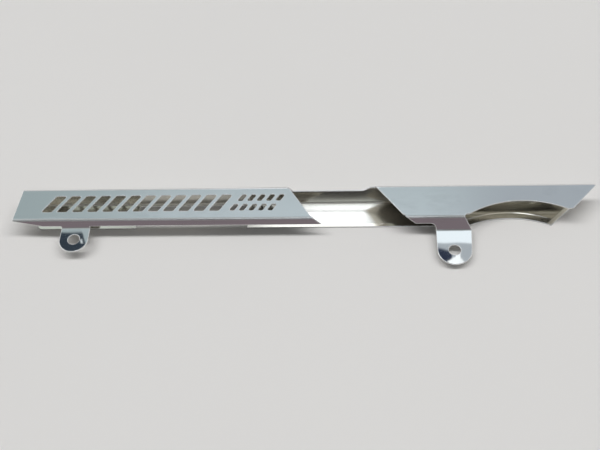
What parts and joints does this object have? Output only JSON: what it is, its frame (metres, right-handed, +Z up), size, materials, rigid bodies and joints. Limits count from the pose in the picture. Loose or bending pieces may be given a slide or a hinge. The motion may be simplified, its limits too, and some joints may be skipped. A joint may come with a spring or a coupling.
{
  "type": "motorcycle chain guard",
  "caption": "Chromed steel chain guard folded from one sheet into an open channel, with slanted slots, a window, sprocket arches and two drilled mounting tabs.",
  "frame": {"origin": "middle of the footprint, on the surface that the guard lies on", "axes": "+X along the guard from the front end to the rear end at the sprocket arches, +Y from the open side and its tabs to the top wall, +Z up from the inner wall to the outer wall"},
  "size_m": [0.5024, 0.0746, 0.0216],
  "materials": {
    "chrome_plate": "polished chrome plate on steel sheet, lightly smudged"
  },
  "bodies": {
    "root": {"chain_guard": "chrome_plate"}
  },
  "joints": []
}
